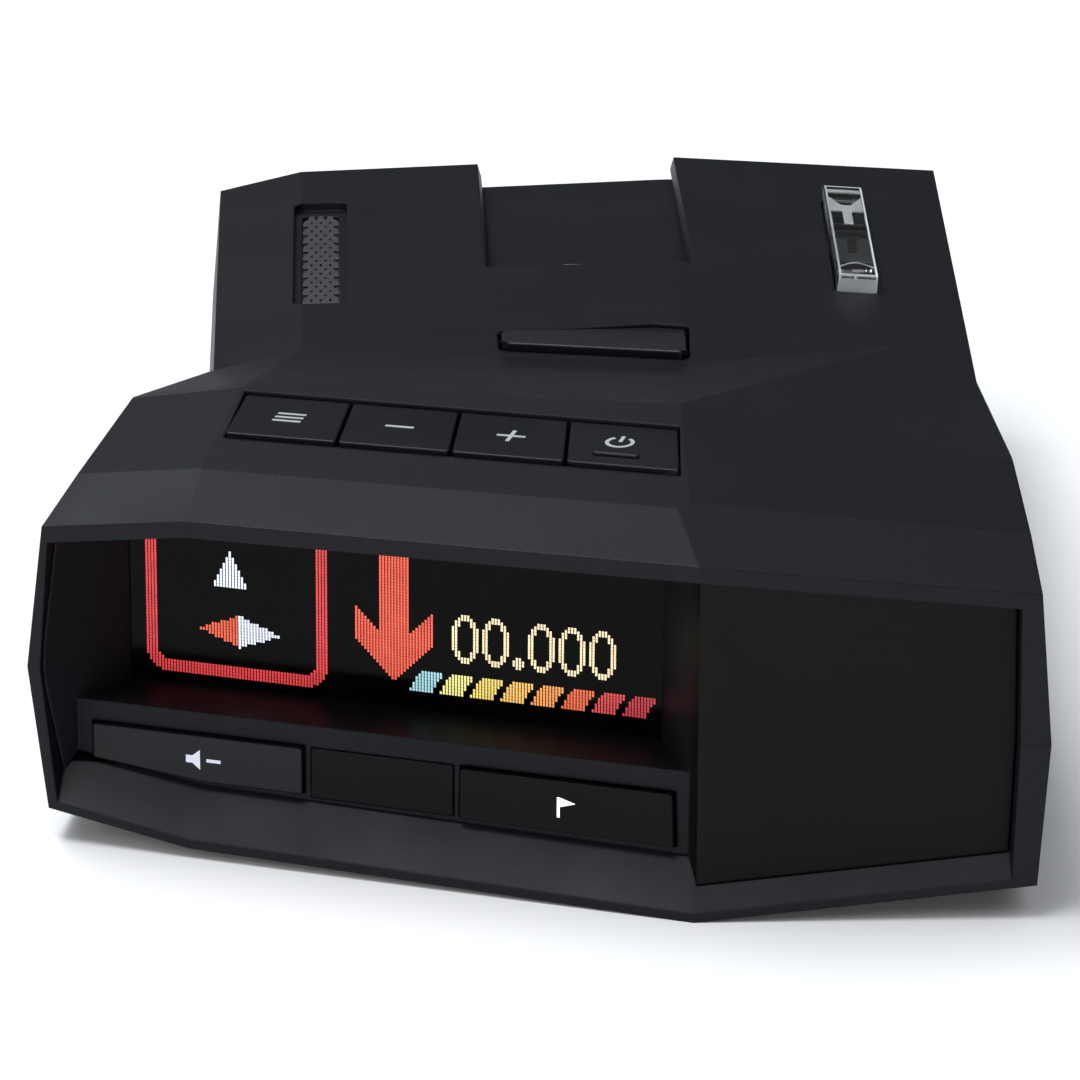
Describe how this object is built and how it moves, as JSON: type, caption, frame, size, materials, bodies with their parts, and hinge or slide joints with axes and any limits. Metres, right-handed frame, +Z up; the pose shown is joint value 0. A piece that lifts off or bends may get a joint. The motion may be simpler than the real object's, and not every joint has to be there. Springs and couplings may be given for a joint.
{
  "type": "radar detector",
  "caption": "Windshield radar detector with a display face turned to the driver, hood keys, front buttons, a bracket release button, a speaker grille and a roof lens.",
  "frame": {"origin": "centre of the flat underside", "axes": "+X to the right seen from the display end, +Y towards the windshield end, +Z up"},
  "size_m": [0.0879, 0.115, 0.0365],
  "materials": {
    "housing": "fine-grained matte black",
    "bezel": "satin black",
    "button": "satin black, backlit legends",
    "display_glass": "polished black window over a dot display",
    "smoked_window": "polished dark window",
    "clear_lens": "clear moulded lens",
    "mesh": "pierced sheet",
    "metal": "plain",
    "casting": "as cast",
    "circuit_board": "solder-masked board",
    "switch": "plain moulded",
    "ceramic": "fired, silvered top",
    "socket": "moulded",
    "ribbon": "amber film"
  },
  "bodies": {
    "housing": {"audio_jack": "socket", "board_screws": "metal", "bottom_cover": "housing", "button_board": "circuit_board", "cover_screws": "metal", "display_bezel": "bezel", "display_board": "circuit_board", "display_module": "display_glass", "display_ribbon": "ribbon", "display_window": "display_glass", "front_horn_antenna": "casting", "front_laser_lens": "smoked_window", "front_laser_sensor": "circuit_board", "gps_antenna": "ceramic", "key_board": "circuit_board", "key_switches": "switch", "laser_lens": "clear_lens", "laser_sensor": "circuit_board", "latch_carrier": "housing", "latch_springs": "metal", "light_sensor": "switch", "main_board": "circuit_board", "mark_switch": "switch", "mute_dim_switch": "switch", "power_jack": "socket", "processor_shield": "metal", "rear_horn_antenna": "casting", "rf_shield": "metal", "sensor_window": "smoked_window", "speaker": "switch", "speaker_mesh": "mesh", "top_cover": "housing", "usb_port": "metal"},
    "menu_key": {"menu_key": "button"},
    "minus_key": {"minus_key": "button"},
    "plus_key": {"plus_key": "button"},
    "power_key": {"power_key": "button"},
    "mute_dim_button": {"mute_dim_button": "button"},
    "mark_button": {"mark_button": "button"},
    "mount_release": {"release_button": "button", "mount_latch": "metal"}
  },
  "joints": [
    {"name": "menu_key_press", "type": "slide", "parent": "housing", "child": "menu_key", "axis": [0.0473, 0.0601, -0.9971], "range_m": [0, 0.0004], "stiffness_N_per_m": 400},
    {"name": "minus_key_press", "type": "slide", "parent": "housing", "child": "minus_key", "axis": [0.0473, 0.0601, -0.9971], "range_m": [0, 0.0004], "stiffness_N_per_m": 400},
    {"name": "plus_key_press", "type": "slide", "parent": "housing", "child": "plus_key", "axis": [0.0473, 0.0601, -0.9971], "range_m": [0, 0.0004], "stiffness_N_per_m": 400},
    {"name": "power_key_press", "type": "slide", "parent": "housing", "child": "power_key", "axis": [0.0473, 0.0601, -0.9971], "range_m": [0, 0.0004], "stiffness_N_per_m": 400},
    {"name": "mute_dim_button_press", "type": "slide", "parent": "housing", "child": "mute_dim_button", "axis": [0.3007, 0.9537, 0], "range_m": [0, 0.0005], "stiffness_N_per_m": 400},
    {"name": "mark_button_press", "type": "slide", "parent": "housing", "child": "mark_button", "axis": [0.3007, 0.9537, 0], "range_m": [0, 0.0005], "stiffness_N_per_m": 400},
    {"name": "mount_release_press", "type": "slide", "parent": "housing", "child": "mount_release", "axis": [0, 0, -1], "range_m": [0, 0.0015], "stiffness_N_per_m": 600, "deforming": ["latch_springs"]}
  ]
}
